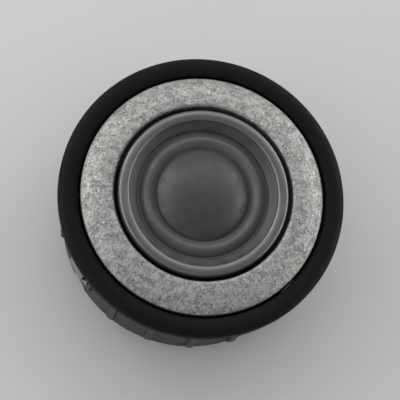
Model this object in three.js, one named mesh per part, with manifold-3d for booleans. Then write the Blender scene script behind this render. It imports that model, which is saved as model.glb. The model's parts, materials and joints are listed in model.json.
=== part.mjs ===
// A flush-mounted swivel dome tweeter for a car door or pillar.
//
// Millimetres, +Z up. The tweeter lies on its back: its sound axis is +Z and it stands on the rear rim of
// its mounting cup. Everything is placed in a group whose origin is the tilt centre, so in the code below
// z = 0 is the height of the tilt pins, and the group is lifted so that the cup's rear rim is at z = 0.
//
// Bodies, from the outside in:
//   mount      bezel, gasket, cup, wave washer and panel clips, which stay fixed in the panel
//   swivel     ring that turns in the cup about the sound axis, with the two tilt pins
//   head       ball housing with the pale face ring, faceplate, motor, rear cover and terminals
//   diaphragm  dome, surround and voice coil, which slide along the sound axis
import * as THREE from "three";
import { mergeVertices } from "three/addons/utils/BufferGeometryUtils.js";
import Module from "manifold-3d";

const wasm = await Module();
wasm.setup();

// ---------- driving dimensions ----------
const GAP = 0.3; // clearance kept between neighbouring pieces
const RING_SEGMENTS = 40; // facets round the large rings
const CORE_SEGMENTS = 28; // facets round the motor and the other inner pieces
const SCREW_SEGMENTS = 12;

const BEZEL_R = 40; // outer radius of the whole tweeter
const PANEL_HOLE_R = 38; // cut-out in the panel
const PANEL_Z = 1.6; // front surface of the panel
const CUP_DEPTH = 28; // from the tilt centre to the cup's rear rim

const BALL_R = 34.2; // outside of the ball housing
const SEAT_R = BALL_R + 0.4; // spherical seat in the swivel ring
const BALL_WALL = 1.6;
const BALL_TOP_Z = 4.0;
const BALL_BOTTOM_Z = -17;
const SHELF_TOP_Z = 2.1; // internal shelf that carries the faceplate
const SHELF_BOTTOM_Z = 0.3;
const SHELF_HOLE_R = 21.2;

const SWIVEL_R = 36.0;
const SWIVEL_TOP_Z = 2.9;
const SWIVEL_BOTTOM_Z = -5.0;
const STOP_HALF_ANGLE = THREE.MathUtils.degToRad(4.6); // half width of the stop tab and of the stop lug
const STOP_BOTTOM_Z = 1.2;
const STOP_INNER_R = 35.2;

const FACE_RING_OUTER_R = 33.8;
const FACE_RING_INNER_R = 25.0;
const FACE_RING_BOTTOM_Z = BALL_TOP_Z + GAP;
const FACEPLATE_R = 31.0;
const FACEPLATE_HUB_R = 24.1;
const FACEPLATE_LIP_R = 18.4;
const FACEPLATE_BOTTOM_Z = SHELF_TOP_Z + GAP;

const POLE_R = 11.9;
const TOP_PLATE_BORE_R = 13.6;
const TOP_PLATE_R = 20.6;
const TOP_PLATE_TOP_Z = 3.1;
const TOP_PLATE_THICK = 3.0;
const MAGNET_THICK = 5.5;
const YOKE_PLATE_THICK = 3.0;
const VENT_R = 3.5;

const DOME_R = 13.0;
const DOME_RISE = 5.2;
const DOME_BASE_Z = 5.7;
const SHELL_THICK = 0.5; // dome and surround
const SURROUND_INNER_R = DOME_R + GAP;
const ROLL_OUTER_R = 17.7;
const ROLL_RISE = 1.7;
const SURROUND_OUTER_R = 18.9;

const COVER_BACK_Z = -20.6;
const COVER_WALL = 1.6;
const COVER_SCREW_R = 23.8; // pitch radius of the rear cover's screws
const FACEPLATE_SCREW_R = 28.2;
const SCREW_ANGLES = [30, 150, 270].map(THREE.MathUtils.degToRad);
const CLIP_ANGLES = [90, 210, 330].map(THREE.MathUtils.degToRad);

const TERMINAL_HALF_PITCH = 4;
const LEAD_R = 0.7;

// ---------- materials ----------
const finish = (color, roughness, metalness = 0) =>
  new THREE.MeshStandardMaterial({ color, roughness, metalness });

const MATERIALS = {
  bezel: finish(0x0b0b0b, 0.6),
  cup: finish(0x161616, 0.7),
  foam: finish(0x101010, 0.95),
  springSteel: finish(0x8d8f90, 0.35, 1),
  aluminium: finish(0xb4b6b8, 0.4, 1),
  nylon: finish(0x24252a, 0.55),
  steel: finish(0x9a9c9e, 0.3, 1),
  silver: finish(0x9c9c95, 0.5, 0.3),
  faceplate: finish(0x1d1d1e, 0.45),
  dome: finish(0x3c3c3b, 0.3),
  surround: finish(0x2a2a2a, 0.5),
  nickel: finish(0xc2c0ba, 0.2, 1),
  zinc: finish(0x8f9294, 0.35, 1),
  felt: finish(0x9b978c, 1.0),
  former: finish(0x7a4f22, 0.5),
  copper: finish(0xb4653a, 0.35, 1),
  brass: finish(0xb08d4a, 0.3, 1),
  blackSteel: finish(0x1c1c1d, 0.4, 1),
  redWire: finish(0x8e1414, 0.5),
  blackWire: finish(0x121212, 0.5),
};

// ---------- solid modelling helpers ----------

// A closed three.js geometry as a manifold solid.
function solidFrom(geometry) {
  const g = geometry.clone();
  g.deleteAttribute("normal");
  g.deleteAttribute("uv");
  const merged = mergeVertices(g, 1e-4);
  return new wasm.Manifold(
    new wasm.Mesh({
      numProp: 3,
      vertProperties: new Float32Array(merged.attributes.position.array),
      triVerts: new Uint32Array(merged.index.array),
    }),
  );
}

// A manifold solid as a flat-shaded three.js geometry.
function geometryFrom(solid) {
  const { vertProperties, triVerts, numProp } = solid.getMesh();
  const position = new Float32Array(triVerts.length * 3);
  triVerts.forEach((v, i) => {
    position.set(vertProperties.subarray(v * numProp, v * numProp + 3), i * 3);
  });
  const geometry = new THREE.BufferGeometry();
  geometry.setAttribute("position", new THREE.BufferAttribute(position, 3));
  geometry.computeVertexNormals();
  return geometry;
}

// Turns a profile of [radius, height] points round +Z. A profile that starts off the axis is a closed ring
// section; one that starts on the axis has to end on it. Points may run either way round.
function turned(profile, segments = RING_SEGMENTS) {
  const onAxis = profile[0][0] === 0;
  let points = profile.map(([r, z]) => new THREE.Vector2(r, z));
  if (THREE.ShapeUtils.area(points) < 0) points.reverse();
  if (!onAxis) points = [...points, points[0].clone()];
  const lathe = new THREE.LatheGeometry(points, segments);
  return solidFrom(lathe.rotateX(Math.PI / 2));
}

// A plain ring or disc between two heights.
const ring = (inner, outer, low, high, segments = RING_SEGMENTS) =>
  turned([[inner, low], [outer, low], [outer, high], [inner, high]], segments);
const disc = (outer, low, high, segments = CORE_SEGMENTS) =>
  turned([[0, low], [outer, low], [outer, high], [0, high]], segments);

// A box with its centre at the given place.
const block = (x, y, z, cx, cy, cz) =>
  solidFrom(new THREE.BoxGeometry(x, y, z).translate(cx, cy, cz));

// A cylinder along Z at a place in the plan.
const post = (radius, low, high, x, y, segments = SCREW_SEGMENTS) =>
  disc(radius, low, high, segments).translate([x, y, 0]);

// A sector of a ring, centred on an angle round +Z.
function ringSector(inner, outer, low, high, centre, halfAngle) {
  const shape = new THREE.Shape();
  shape.absarc(0, 0, outer, centre - halfAngle, centre + halfAngle, false);
  shape.absarc(0, 0, inner, centre + halfAngle, centre - halfAngle, true);
  const geometry = new THREE.ExtrudeGeometry(shape, {
    depth: high - low,
    bevelEnabled: false,
    curveSegments: 4,
  });
  return solidFrom(geometry.translate(0, 0, low));
}

// A flat outline of [radius, height] points, given a width and stood out from the axis at an angle round +Z.
function radialStrip(outline, width, angle) {
  const shape = new THREE.Shape(outline.map(([r, z]) => new THREE.Vector2(r, z)));
  const geometry = new THREE.ExtrudeGeometry(shape, {
    depth: width,
    bevelEnabled: false,
  });
  geometry.translate(0, 0, -width / 2).rotateX(Math.PI / 2).rotateZ(angle);
  return solidFrom(geometry);
}

const pointsOnCircle = (radius, angle) => [
  radius * Math.cos(angle),
  radius * Math.sin(angle),
];
const onSphere = (radius, z) => [Math.sqrt(radius * radius - z * z), z];
const steps = (from, to, count) =>
  Array.from({ length: count }, (_, i) => from + ((to - from) * i) / (count - 1));

// ---------- mount ----------

// Black trim ring that snaps over the cup's flange and hides it.
function trimBezel() {
  const skirtInner = BEZEL_R - 0.5;
  const lipInner = BALL_R + 0.4;
  const lipOuter = SWIVEL_R;
  const lipBottom = SWIVEL_TOP_Z + GAP;
  const ceiling = 4.4;
  return turned([
    [skirtInner, 1.8],
    [BEZEL_R, 1.8],
    [BEZEL_R, 3.7],
    [39.6, 4.8],
    [38.7, 5.5],
    [37.2, 5.8],
    [35.7, 5.7],
    [34.9, 5.3],
    [lipInner, 4.6],
    [lipInner, lipBottom],
    [lipOuter, lipBottom],
    [lipOuter, ceiling],
    [skirtInner, ceiling],
  ]);
}

// Foam ring between the cup's flange and the panel. Its underside is the face that meets the panel.
const panelGasket = () => ring(PANEL_HOLE_R, 39.2, PANEL_Z, PANEL_Z + 1.0);

const CUP = {
  outer: PANEL_HOLE_R - 0.4, // goes through the panel's cut-out
  inner: SWIVEL_R + GAP,
  lowerOuter: 36.2,
  lowerInner: 34.8,
  flangeOuter: 39.2,
  flangeBottom: 2.9,
  flangeTop: 4.1,
  shelf: -6.6, // step that carries the wave washer
  waist: -8.0,
};

const WIRE_NOTCH_R = 2.6;

// Cup that carries everything, with ribs on its lower wall, a half-round notch in its rear rim below each clip
// that lets the wires out, and a lug that limits the swivel ring's turn.
function mountingCup() {
  let cup = turned([
    [CUP.lowerInner, -CUP_DEPTH],
    [CUP.lowerOuter, -CUP_DEPTH],
    [CUP.lowerOuter, CUP.waist - 1],
    [CUP.outer, CUP.waist],
    [CUP.outer, CUP.flangeBottom],
    [CUP.flangeOuter, CUP.flangeBottom],
    [CUP.flangeOuter, CUP.flangeTop],
    [CUP.inner, CUP.flangeTop],
    [CUP.inner, CUP.shelf],
    [CUP.lowerInner, CUP.shelf],
  ]);
  const ribWidth = 2;
  const ribTop = CUP.waist - 0.5;
  const ribBottom = -CUP_DEPTH + 2;
  for (const clip of CLIP_ANGLES) {
    for (const offset of [22, 41, 60, 79, 98]) {
      const rib = radialStrip(
        [
          [CUP.lowerOuter - 0.5, ribBottom],
          [CUP.lowerOuter + 0.3, ribBottom],
          [CUP.outer - 0.1, ribBottom + 3],
          [CUP.outer - 0.1, ribTop],
          [CUP.lowerOuter - 0.5, ribTop],
        ],
        ribWidth,
        clip + THREE.MathUtils.degToRad(offset),
      );
      cup = cup.add(rib);
    }
  }
  const lug = ringSector(
    STOP_INNER_R + GAP,
    CUP.inner + 0.5,
    STOP_BOTTOM_Z + GAP,
    SWIVEL_TOP_Z - 0.1,
    -Math.PI / 2,
    STOP_HALF_ANGLE,
  );
  cup = cup.add(lug);
  for (const angle of CLIP_ANGLES) {
    const notch = radialPeg(WIRE_NOTCH_R, CUP.lowerInner - 1, CUP.outer, angle, -CUP_DEPTH);
    cup = cup.subtract(rivetHole(angle)).subtract(notch);
  }
  return cup;
}

// Wavy spring ring that presses the swivel ring against the bezel, so that it holds its aim.
function waveWasher() {
  const waves = 3;
  const swing = 0.28;
  const half = 0.175;
  const middle = (CUP.shelf + SWIVEL_BOTTOM_Z) / 2;
  const section = [
    [CUP.lowerInner + 0.3, -half],
    [SWIVEL_R - 0.1, -half],
    [SWIVEL_R - 0.1, half],
    [CUP.lowerInner + 0.3, half],
    [CUP.lowerInner + 0.3, -half],
  ].map(([r, z]) => new THREE.Vector2(r, z));
  const geometry = new THREE.LatheGeometry(section, RING_SEGMENTS).rotateX(Math.PI / 2);
  const position = geometry.attributes.position;
  for (let i = 0; i < position.count; i++) {
    const angle = Math.atan2(position.getY(i), position.getX(i));
    position.setZ(i, position.getZ(i) + middle + swing * Math.cos(waves * angle));
  }
  return solidFrom(geometry);
}

const CLIP = {
  inner: 36.5,
  thick: 0.5,
  width: 7,
  kneeR: 39.8,
  kneeZ: -5.2,
  tipR: 38.2,
  tipZ: -1.6,
  footZ: -19,
  bendZ: -11.2,
  rivetZ: -15,
};

// Leaf spring on the cup's side. It folds in as the cup is pushed through the panel, then grips from behind.
function panelClip(angle) {
  const { inner, thick, kneeR, kneeZ, tipR, tipZ, footZ, bendZ } = CLIP;
  const strip = radialStrip(
    [
      [inner, footZ],
      [inner + thick, footZ],
      [inner + thick, bendZ],
      [kneeR, kneeZ],
      [tipR + thick, tipZ],
      [tipR, tipZ],
      [kneeR - thick * 1.15, kneeZ],
      [inner, bendZ + 0.2],
    ],
    CLIP.width,
    angle,
  );
  return strip.subtract(rivetHole(angle));
}

// A short cylinder that points out from the axis, at the rivet's height unless another is given.
function radialPeg(radius, from, to, angle, height = CLIP.rivetZ) {
  const peg = new THREE.CylinderGeometry(radius, radius, to - from, SCREW_SEGMENTS)
    .rotateZ(Math.PI / 2)
    .translate((from + to) / 2, 0, height)
    .rotateZ(angle);
  return solidFrom(peg);
}
const rivetHole = (angle) => radialPeg(1.25, CUP.lowerInner - 1, PANEL_HOLE_R, angle);

// Flat rivet that holds a clip to the cup.
function clipRivet(angle) {
  const shank = radialPeg(0.9, CUP.lowerInner + 0.3, CLIP.inner + CLIP.thick + 0.4, angle);
  const head = radialPeg(1.9, CLIP.inner + CLIP.thick + GAP, PANEL_HOLE_R - 0.1, angle);
  return shank.add(head);
}

// ---------- swivel ----------

const PIN_R = 1.2;
const PIN_BORE_R = PIN_R + GAP;

// A cylinder along X at the tilt centre's height.
const sidePeg = (radius, from, to) =>
  solidFrom(
    new THREE.CylinderGeometry(radius, radius, Math.abs(to - from), SCREW_SEGMENTS)
      .rotateZ(Math.PI / 2)
      .translate((from + to) / 2, 0, 0),
  );

// Ring that turns in the cup. Its inside is a seat for the ball, and a tab on its top edge meets the lug.
function swivelRing() {
  const seat = steps(SWIVEL_TOP_Z, SWIVEL_BOTTOM_Z, 5).map((z) => onSphere(SEAT_R, z));
  const body = turned([
    [SWIVEL_R, SWIVEL_BOTTOM_Z],
    [SWIVEL_R, SWIVEL_TOP_Z],
    ...seat,
  ]);
  const rebate = ring(STOP_INNER_R, SWIVEL_R + 1, STOP_BOTTOM_Z, SWIVEL_TOP_Z + 1);
  const tab = ringSector(
    STOP_INNER_R - 1,
    SWIVEL_R + 2,
    STOP_BOTTOM_Z - 1,
    SWIVEL_TOP_Z + 2,
    Math.PI / 2,
    STOP_HALF_ANGLE,
  );
  return body
    .subtract(rebate.subtract(tab))
    .subtract(sidePeg(PIN_BORE_R, -BEZEL_R, BEZEL_R));
}

// Steel pin that the ball tilts on.
const tiltPin = (side) => sidePeg(PIN_R, side * 31.6, side * (SWIVEL_R - 0.3));

// ---------- head ----------

// Pale cast ring round the driver: a flat inner land and a sloping outer band, hollow underneath over
// the screw heads.
function faceRing() {
  const wall = FACE_RING_INNER_R + 0.6;
  return turned([
    [FACE_RING_OUTER_R, FACE_RING_BOTTOM_Z],
    [FACE_RING_OUTER_R, 5.0],
    [33.3, 5.6],
    [30.8, 7.1],
    [28.6, 8.05],
    [25.9, 8.35],
    [FACE_RING_INNER_R, 7.9],
    [FACE_RING_INNER_R, FACE_RING_BOTTOM_Z + 0.4],
    [wall, FACE_RING_BOTTOM_Z + 0.4],
    [wall, 6.3],
    [30.4, 5.7],
    [30.8, FACE_RING_BOTTOM_Z],
  ]);
}

// Three like pieces, one at each screw position on a pitch radius.
const atScrews = (pitch, make) =>
  SCREW_ANGLES.map((angle) => make(...pointsOnCircle(pitch, angle)));

const SCREW = { shankR: 0.9, holeR: 1.2, headR: 1.9, headThick: 1.0 };

// Pan-head screw along Z. up is 1 where the head is on top, and -1 where it is underneath.
function screw(headSeat, tip, up, x, y) {
  const headTop = headSeat + up * SCREW.headThick;
  const span = (a, b) => [Math.min(a, b), Math.max(a, b)];
  const shank = post(SCREW.shankR, ...span(tip, headSeat + up * 0.2), x, y);
  const head = post(SCREW.headR, ...span(headSeat, headTop), x, y);
  const driveDepth = 0.5;
  const drive = block(2.4, 0.5, 2 * driveDepth, x, y, headTop).add(
    block(0.5, 2.4, 2 * driveDepth, x, y, headTop),
  );
  return shank.add(head).subtract(drive);
}

// The notch through which the coil's wires pass down beside the motor.
const leadNotch = (low, high) => block(9, 5.5, high - low, 0, 22.2, (low + high) / 2);

// Black faceplate with a rounded rim and a short flare down to the surround.
function faceplate() {
  let plate = turned([
    [FACEPLATE_R, FACEPLATE_BOTTOM_Z],
    [FACEPLATE_R, BALL_TOP_Z],
    [FACEPLATE_HUB_R + 0.3, BALL_TOP_Z],
    [FACEPLATE_HUB_R, 4.4],
    [FACEPLATE_HUB_R, 8.0],
    [FACEPLATE_HUB_R - 0.7, 8.7],
    [FACEPLATE_HUB_R - 1.7, 8.9],
    [FACEPLATE_HUB_R - 2.7, 8.7],
    [FACEPLATE_HUB_R - 3.4, 8.1],
    [FACEPLATE_LIP_R + 0.3, 6.6],
    [FACEPLATE_LIP_R, 6.3],
    [FACEPLATE_LIP_R, 6.0],
    [20.3, 6.0],
    [20.3, 3.4],
    [TOP_PLATE_R + 0.5, 3.4],
    [TOP_PLATE_R + 0.5, FACEPLATE_BOTTOM_Z],
  ]);
  plate = plate.subtract(leadNotch(0, 4.8));
  for (const hole of atScrews(FACEPLATE_SCREW_R, (x, y) => post(SCREW.holeR, 0, 6, x, y)))
    plate = plate.subtract(hole);
  return plate;
}

// Ball-shaped plastic housing, open in front and behind, with a shelf for the faceplate and screw pillars.
function ballHousing() {
  const innerR = BALL_R - BALL_WALL;
  const outside = steps(BALL_BOTTOM_Z, BALL_TOP_Z, 6).map((z) => onSphere(BALL_R, z));
  const inside = steps(SHELF_BOTTOM_Z, BALL_BOTTOM_Z, 4).map((z) => onSphere(innerR, z));
  let ball = turned([
    ...outside,
    [FACEPLATE_R + 0.6, BALL_TOP_Z],
    [FACEPLATE_R + 0.6, SHELF_TOP_Z],
    [SHELF_HOLE_R, SHELF_TOP_Z],
    [SHELF_HOLE_R, SHELF_BOTTOM_Z],
    ...inside,
  ]);
  for (const pillar of atScrews(COVER_SCREW_R, (x, y) =>
    post(2.2, BALL_BOTTOM_Z + 0.2, SHELF_BOTTOM_Z + 0.5, x, y),
  ))
    ball = ball.add(pillar);
  for (const boss of atScrews(FACEPLATE_SCREW_R, (x, y) =>
    post(2.5, -5, SHELF_BOTTOM_Z + 0.5, x, y),
  ))
    ball = ball.add(boss);
  for (const side of [-1, 1]) {
    // thick pad round each tilt pin
    ball = ball.add(sidePeg(1.95, side * 30.6, side * 33));
    ball = ball.subtract(sidePeg(PIN_BORE_R, side * 31.2, side * BEZEL_R));
  }
  for (const hole of atScrews(COVER_SCREW_R, (x, y) =>
    post(SCREW.holeR, BALL_BOTTOM_Z - 1, -9, x, y),
  ))
    ball = ball.subtract(hole);
  for (const hole of atScrews(FACEPLATE_SCREW_R, (x, y) => post(SCREW.holeR, -4, 3, x, y)))
    ball = ball.subtract(hole);
  return ball.subtract(leadNotch(-1, 3));
}

// Plastic ring that the surround is glued to.
const diaphragmFrame = () =>
  ring(16.9, 19.9, TOP_PLATE_TOP_Z + GAP, 4.4, CORE_SEGMENTS);

const topPlate = () =>
  ring(TOP_PLATE_BORE_R, TOP_PLATE_R, TOP_PLATE_TOP_Z - TOP_PLATE_THICK, TOP_PLATE_TOP_Z, CORE_SEGMENTS);

const MAGNET_TOP_Z = TOP_PLATE_TOP_Z - TOP_PLATE_THICK - GAP;
const MAGNET_BOTTOM_Z = MAGNET_TOP_Z - MAGNET_THICK;
const YOKE_TOP_Z = MAGNET_BOTTOM_Z - GAP;
const YOKE_BOTTOM_Z = YOKE_TOP_Z - YOKE_PLATE_THICK;

const magnet = () => ring(15.2, 20.2, MAGNET_BOTTOM_Z, MAGNET_TOP_Z, CORE_SEGMENTS);

// Back plate and centre pole in one piece, with a vent through the pole.
function yoke() {
  return turned(
    [
      [VENT_R, YOKE_BOTTOM_Z],
      [TOP_PLATE_R - 0.6, YOKE_BOTTOM_Z],
      [TOP_PLATE_R, YOKE_BOTTOM_Z + 0.6],
      [TOP_PLATE_R, YOKE_TOP_Z],
      [POLE_R, YOKE_TOP_Z],
      [POLE_R, TOP_PLATE_TOP_Z],
      [VENT_R, TOP_PLATE_TOP_Z],
    ],
    CORE_SEGMENTS,
  );
}

// Felt pad on the pole, under the dome.
const domeDamper = () => ring(VENT_R, 10.6, TOP_PLATE_TOP_Z + GAP, 5.0, CORE_SEGMENTS);

const CHAMBER = { outer: 15, wall: 1.2, top: YOKE_BOTTOM_Z - GAP, bottom: -15.6 };

// Plastic cup behind the vent. It takes up the sound from the back of the dome.
function rearChamber() {
  const { outer, wall, top, bottom } = CHAMBER;
  return turned(
    [
      [0, bottom],
      [outer - 0.8, bottom],
      [outer, bottom + 0.8],
      [outer, top],
      [outer - wall, top],
      [outer - wall, bottom + wall],
      [0, bottom + wall],
    ],
    CORE_SEGMENTS,
  );
}
const chamberFelt = () =>
  disc(
    CHAMBER.outer - CHAMBER.wall - GAP,
    CHAMBER.bottom + CHAMBER.wall + GAP,
    CHAMBER.bottom + CHAMBER.wall + 2.6,
    24,
  );

const TERMINAL_BLOCK = { width: 15, depth: 7, flange: 1.5 };

// Dished cover that closes the ball from behind.
function rearCover() {
  const top = BALL_BOTTOM_Z - GAP;
  const outside = steps(top, COVER_BACK_Z + 0.9, 3).map((z) => onSphere(BALL_R - 0.2, z));
  const floor = COVER_BACK_Z + COVER_WALL;
  let cover = turned([
    [0, COVER_BACK_Z],
    [26.3, COVER_BACK_Z],
    ...outside.reverse(),
    [outside[2][0] - COVER_WALL, top],
    [25.6, floor],
    [0, floor],
  ]);
  for (const pad of atScrews(COVER_SCREW_R, (x, y) => post(2.2, floor - 0.5, top, x, y)))
    cover = cover.add(pad);
  for (const hole of atScrews(COVER_SCREW_R, (x, y) => post(SCREW.holeR, -24, -16, x, y)))
    cover = cover.subtract(hole);
  const { width, depth } = TERMINAL_BLOCK;
  const slot = block(width + 2 * GAP, depth + 2 * GAP, 6, 0, 0, COVER_BACK_Z);
  return cover.subtract(slot);
}

// Insulating block that holds the two spade terminals in the rear cover.
function terminalBlock() {
  const { width, depth, flange } = TERMINAL_BLOCK;
  const bottom = COVER_BACK_Z - GAP - flange;
  const top = COVER_BACK_Z + COVER_WALL;
  const body = block(width, depth, top - bottom, 0, 0, (top + bottom) / 2);
  const rim = block(width + 3, depth + 3, flange, 0, 0, bottom + flange / 2);
  const slot = (x) => block(TAB.width + 2 * GAP, TAB.thick + 2 * GAP, 20, x, 0, COVER_BACK_Z);
  return body.add(rim).subtract(slot(-TERMINAL_HALF_PITCH)).subtract(slot(TERMINAL_HALF_PITCH));
}

const TAB = { width: 4.8, thick: 0.8, bottom: -27.2, top: -17.2 };

// Spade terminal with a hole near its end.
function terminalTab(side) {
  const { width, thick, bottom, top } = TAB;
  const x = side * TERMINAL_HALF_PITCH;
  const tab = block(width, thick, top - bottom, x, 0, (top + bottom) / 2);
  const eye = new THREE.CylinderGeometry(0.7, 0.7, 4, SCREW_SEGMENTS);
  return tab.subtract(solidFrom(eye.translate(x, 0, bottom + 2.2)));
}

// Solder lug on the diaphragm frame, where the coil's wire ends.
const coilLug = (side) => block(2.2, 3.4, 0.4, side * 2.4, 22.1, 4.05);

// Insulated wire from a solder lug down beside the motor to its terminal.
function lead(side) {
  const route = new THREE.CatmullRomCurve3(
    [
      [2.4, 23.2, 3.4],
      [2.4, 23.3, -1],
      [2.5, 22.9, -8],
      [2.9, 20.8, -14],
      [3.6, 16.0, -17.2],
      [4, 10.0, -17.8],
      [4, 0.8, -17.9],
    ].map(([x, y, z]) => new THREE.Vector3(side * x, y, z)),
  );
  const section = new THREE.Shape().absarc(0, 0, LEAD_R, 0, 2 * Math.PI, false);
  return solidFrom(
    new THREE.ExtrudeGeometry(section, {
      steps: 14,
      extrudePath: route,
      curveSegments: 4,
    }),
  );
}

// ---------- diaphragm ----------

// A domed shell of one thickness, resting on a circle at its base.
function dome() {
  const sphereR = (DOME_R * DOME_R + DOME_RISE * DOME_RISE) / (2 * DOME_RISE);
  const centreZ = DOME_BASE_Z + DOME_RISE - sphereR;
  const halfAngle = Math.asin(DOME_R / sphereR);
  const arc = (radius) =>
    steps(0, halfAngle, 6).map((a) => [
      a === 0 ? 0 : radius * Math.sin(a),
      centreZ + radius * Math.cos(a),
    ]);
  return turned([...arc(sphereR), ...arc(sphereR - SHELL_THICK).reverse()], CORE_SEGMENTS);
}

// Half-roll surround with a flat outer flange.
function surround() {
  const rollR = (ROLL_OUTER_R - SURROUND_INNER_R) / 2;
  const middle = SURROUND_INNER_R + rollR;
  const roll = (lift) =>
    steps(Math.PI, 0, 6).map((a) => [
      middle + rollR * Math.cos(a),
      5.0 + lift + ROLL_RISE * Math.sin(a),
    ]);
  const upper = [...roll(SHELL_THICK), [SURROUND_OUTER_R, 5.0 + SHELL_THICK]];
  const lower = [...roll(0), [SURROUND_OUTER_R, 5.0]];
  return turned([...upper, ...lower.reverse()], CORE_SEGMENTS);
}

const coilFormer = () => ring(12.2, 12.5, 0.2, 5.2, CORE_SEGMENTS);
const coilWinding = () => ring(12.8, 13.15, 0.6, 2.7, CORE_SEGMENTS);

// ---------- assembly ----------

const tweeter = new THREE.Group();
const mount = new THREE.Group();
const swivel = new THREE.Group();
const head = new THREE.Group();
const diaphragm = new THREE.Group();
mount.position.z = CUP_DEPTH;
tweeter.add(mount);
mount.add(swivel);
swivel.add(head);
head.add(diaphragm);

function place(body, name, solid, material) {
  const mesh = new THREE.Mesh(geometryFrom(solid), material);
  mesh.name = name;
  body.add(mesh);
}

place(mount, "trim_bezel", trimBezel(), MATERIALS.bezel);
place(mount, "panel_gasket", panelGasket(), MATERIALS.foam);
place(mount, "mounting_cup", mountingCup(), MATERIALS.cup);
place(mount, "wave_washer", waveWasher(), MATERIALS.springSteel);
CLIP_ANGLES.forEach((angle, i) => {
  place(mount, `panel_clip_${i + 1}`, panelClip(angle), MATERIALS.springSteel);
  place(mount, `clip_rivet_${i + 1}`, clipRivet(angle), MATERIALS.aluminium);
});

place(swivel, "swivel_ring", swivelRing(), MATERIALS.nylon);
place(swivel, "tilt_pin_left", tiltPin(-1), MATERIALS.steel);
place(swivel, "tilt_pin_right", tiltPin(1), MATERIALS.steel);

place(head, "face_ring", faceRing(), MATERIALS.silver);
place(head, "faceplate", faceplate(), MATERIALS.faceplate);
place(head, "ball_housing", ballHousing(), MATERIALS.nylon);
place(head, "diaphragm_frame", diaphragmFrame(), MATERIALS.cup);
place(head, "top_plate", topPlate(), MATERIALS.zinc);
place(head, "magnet", magnet(), MATERIALS.nickel);
place(head, "yoke", yoke(), MATERIALS.zinc);
place(head, "dome_damper", domeDamper(), MATERIALS.felt);
place(head, "rear_chamber", rearChamber(), MATERIALS.cup);
place(head, "chamber_felt", chamberFelt(), MATERIALS.felt);
place(head, "rear_cover", rearCover(), MATERIALS.cup);
place(head, "terminal_block", terminalBlock(), MATERIALS.nylon);
atScrews(FACEPLATE_SCREW_R, (x, y) => screw(FACE_RING_BOTTOM_Z, -3.5, 1, x, y)).forEach(
  (solid, i) => place(head, `faceplate_screw_${i + 1}`, solid, MATERIALS.blackSteel),
);
atScrews(COVER_SCREW_R, (x, y) => screw(COVER_BACK_Z - GAP, -10, -1, x, y)).forEach(
  (solid, i) => place(head, `rear_cover_screw_${i + 1}`, solid, MATERIALS.blackSteel),
);
for (const [side, name] of [[-1, "negative"], [1, "positive"]]) {
  place(head, `terminal_${name}`, terminalTab(side), MATERIALS.brass);
  place(head, `coil_lug_${name}`, coilLug(side), MATERIALS.brass);
}
place(head, "lead_negative", lead(-1), MATERIALS.blackWire);
place(head, "lead_positive", lead(1), MATERIALS.redWire);

place(diaphragm, "dome", dome(), MATERIALS.dome);
place(diaphragm, "surround", surround(), MATERIALS.surround);
place(diaphragm, "coil_former", coilFormer(), MATERIALS.former);
place(diaphragm, "coil_winding", coilWinding(), MATERIALS.copper);

export default tweeter;
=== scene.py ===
"""Looks for the swivel dome tweeter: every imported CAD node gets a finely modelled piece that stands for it.

Shapes are written in millimetres round the tilt centre: z = 0 is the height of the tilt pins and +z is the
sound axis. install() turns them into metres in the row frame.
"""
import json
import math
import random

import bmesh
import bpy
from mathutils import Matrix, Vector, noise


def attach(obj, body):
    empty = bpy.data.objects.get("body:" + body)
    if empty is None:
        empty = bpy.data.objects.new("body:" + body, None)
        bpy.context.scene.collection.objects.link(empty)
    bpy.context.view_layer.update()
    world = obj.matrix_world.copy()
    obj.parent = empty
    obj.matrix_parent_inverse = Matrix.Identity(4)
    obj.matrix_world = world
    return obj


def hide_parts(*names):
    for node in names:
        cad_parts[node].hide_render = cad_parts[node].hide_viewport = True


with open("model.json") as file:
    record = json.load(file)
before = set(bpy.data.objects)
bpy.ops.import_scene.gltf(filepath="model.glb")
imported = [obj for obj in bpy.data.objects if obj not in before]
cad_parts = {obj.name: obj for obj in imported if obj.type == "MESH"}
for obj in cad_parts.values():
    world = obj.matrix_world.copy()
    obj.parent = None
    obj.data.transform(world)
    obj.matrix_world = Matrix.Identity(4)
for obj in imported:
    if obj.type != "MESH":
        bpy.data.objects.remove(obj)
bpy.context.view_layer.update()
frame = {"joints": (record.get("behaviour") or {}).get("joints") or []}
TILT_CENTRE_Z = next(j for j in frame["joints"] if j["name"] == "tilt")["pos_m"][2]
MM = 0.001

SHOW = 480  # facets round the face ring, whose coat is uneven
FINE = 256  # facets round the other large rings
CORE = 160  # facets round the inner pieces
SMALL = 40  # facets round screws and rivets
BORE = 32  # facets round drilled holes and posts
PEG = 24  # facets round rivet holes, threads and solder
WIRE = 20  # facets round the inner wires
OUTWARD = Matrix.Rotation(math.pi / 2, 4, "Y")  # lays a piece made along z out along x
UPRIGHT = Matrix.Rotation(math.pi / 2, 4, "X")  # stands an outline in x and y up in x and z
FLIP = Matrix.Rotation(math.pi, 4, "X")
random.seed(11)


# ---------- mesh helpers, all in millimetres ----------


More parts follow.
